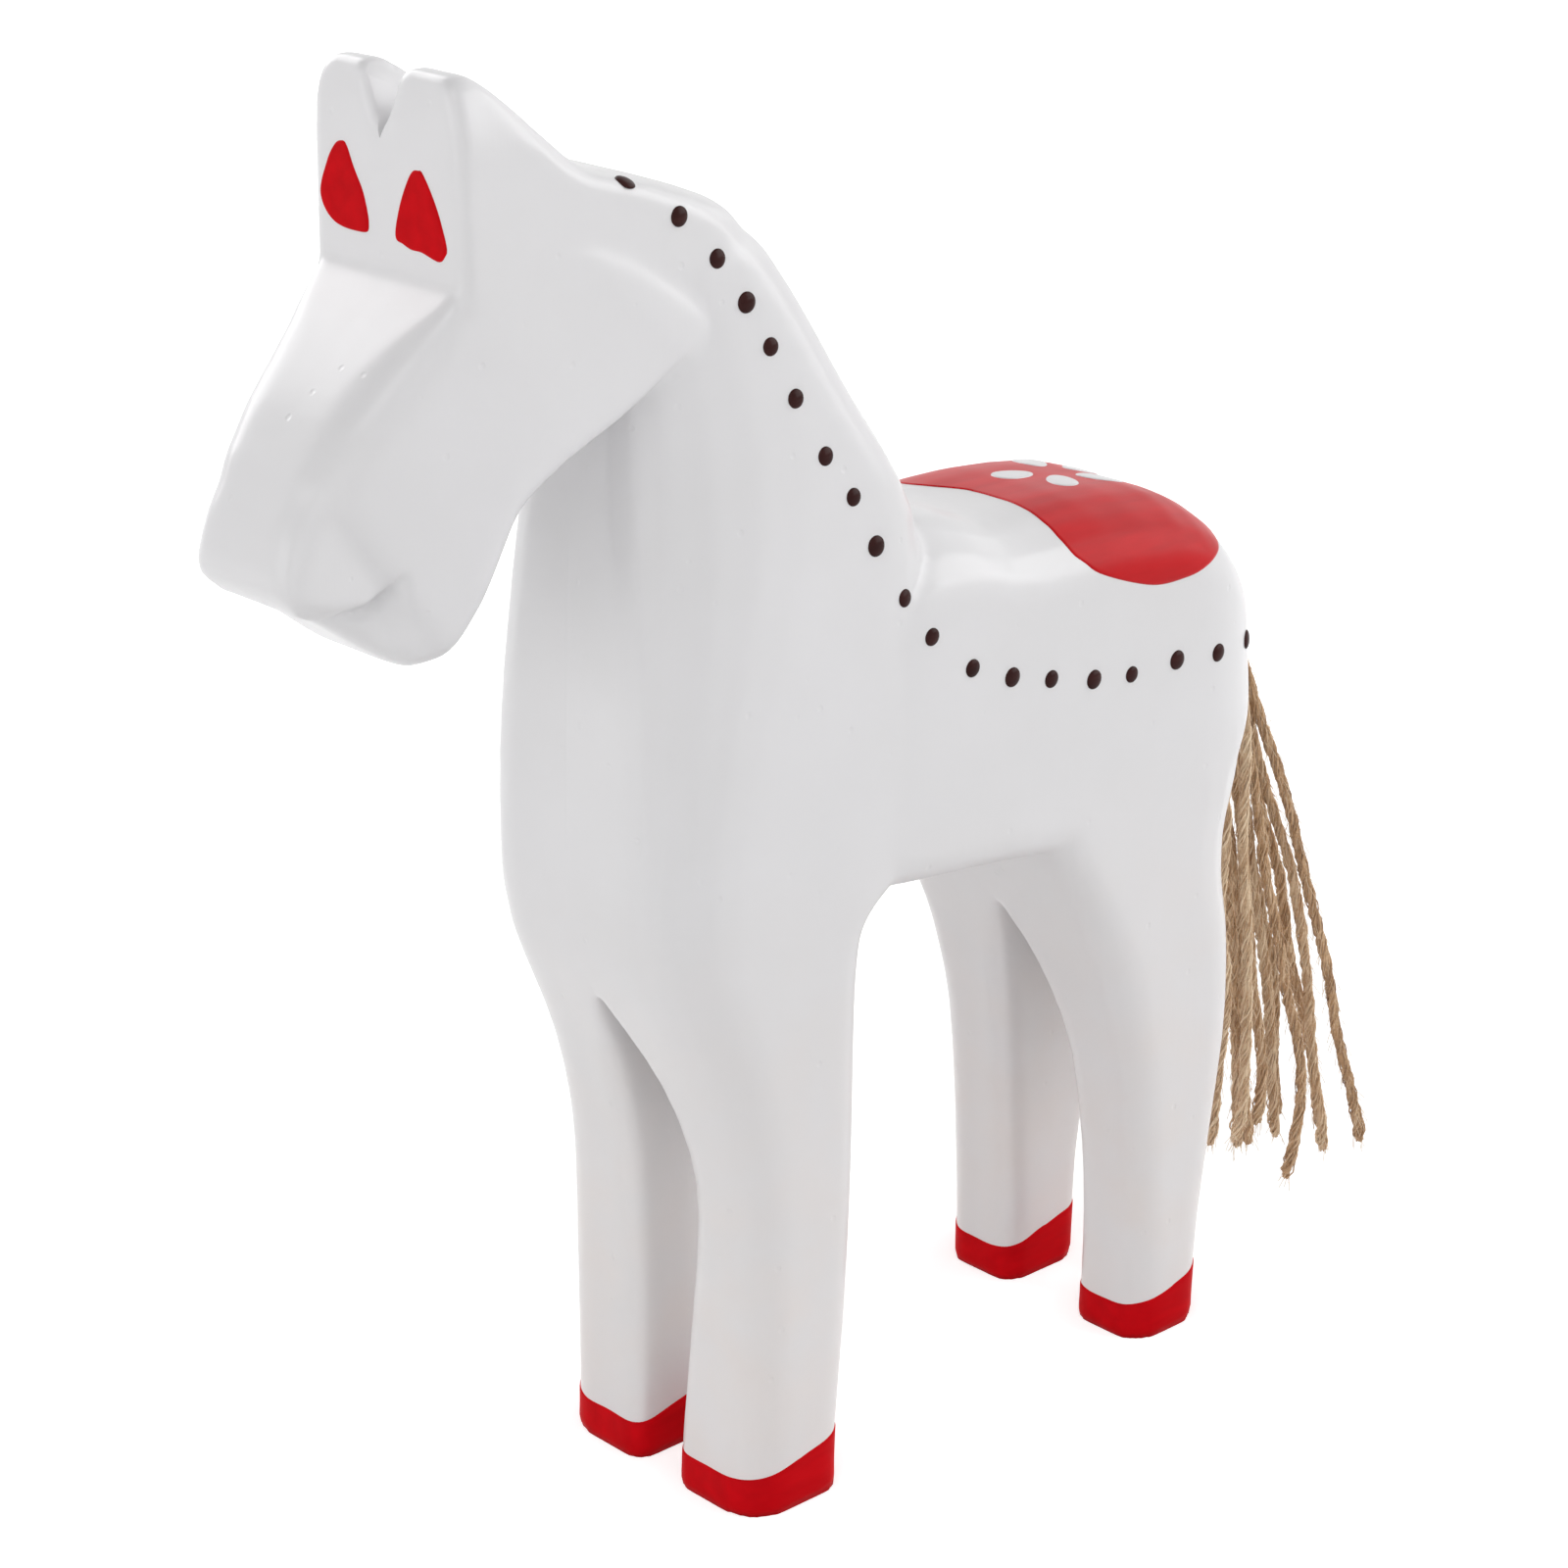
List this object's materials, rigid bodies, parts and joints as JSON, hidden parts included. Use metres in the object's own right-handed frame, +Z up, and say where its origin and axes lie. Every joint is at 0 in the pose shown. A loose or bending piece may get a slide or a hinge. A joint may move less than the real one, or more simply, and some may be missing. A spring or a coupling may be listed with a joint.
{
  "type": "wooden horse figurine",
  "caption": "Standing horse figurine glued from two carved boards, painted white with red hooves, saddle and teardrops, dark raised dots and a limp jute tail.",
  "frame": {"origin": "on the floor, below the middle of the horse from lip to rump", "axes": "+Z up, -Y towards the head, +X towards the horse's left flank"},
  "size_m": [0.0418, 0.2077, 0.2],
  "materials": {
    "white_wood": "satin white paint on wood",
    "white_paint": "satin paint",
    "red_paint": "satin paint",
    "brown_paint": "glossy raised paint",
    "jute": "rough twisted fibre"
  },
  "bodies": {
    "body": {"body_left": "white_wood", "body_right": "white_wood", "left_front_hoof_paint": "red_paint", "right_front_hoof_paint": "red_paint", "left_rear_hoof_paint": "red_paint", "right_rear_hoof_paint": "red_paint", "saddle_paint": "red_paint", "petal_paint": "white_paint", "left_eye_paint": "red_paint", "right_eye_paint": "red_paint", "left_dots": "brown_paint", "right_dots": "brown_paint", "tail_root": "jute"},
    "tail": {"strand_1": "jute", "strand_2": "jute", "strand_3": "jute", "strand_4": "jute", "strand_5": "jute", "strand_6": "jute", "strand_7": "jute", "strand_8": "jute", "strand_9": "jute", "strand_10": "jute", "strand_11": "jute", "strand_12": "jute"}
  },
  "joints": [
    {"name": "tail_lift", "type": "hinge", "parent": "body", "child": "tail", "pos_m": [0, 0.0845, 0.1055], "axis": [1, 0, 0], "range_deg": [0, 60]}
  ]
}
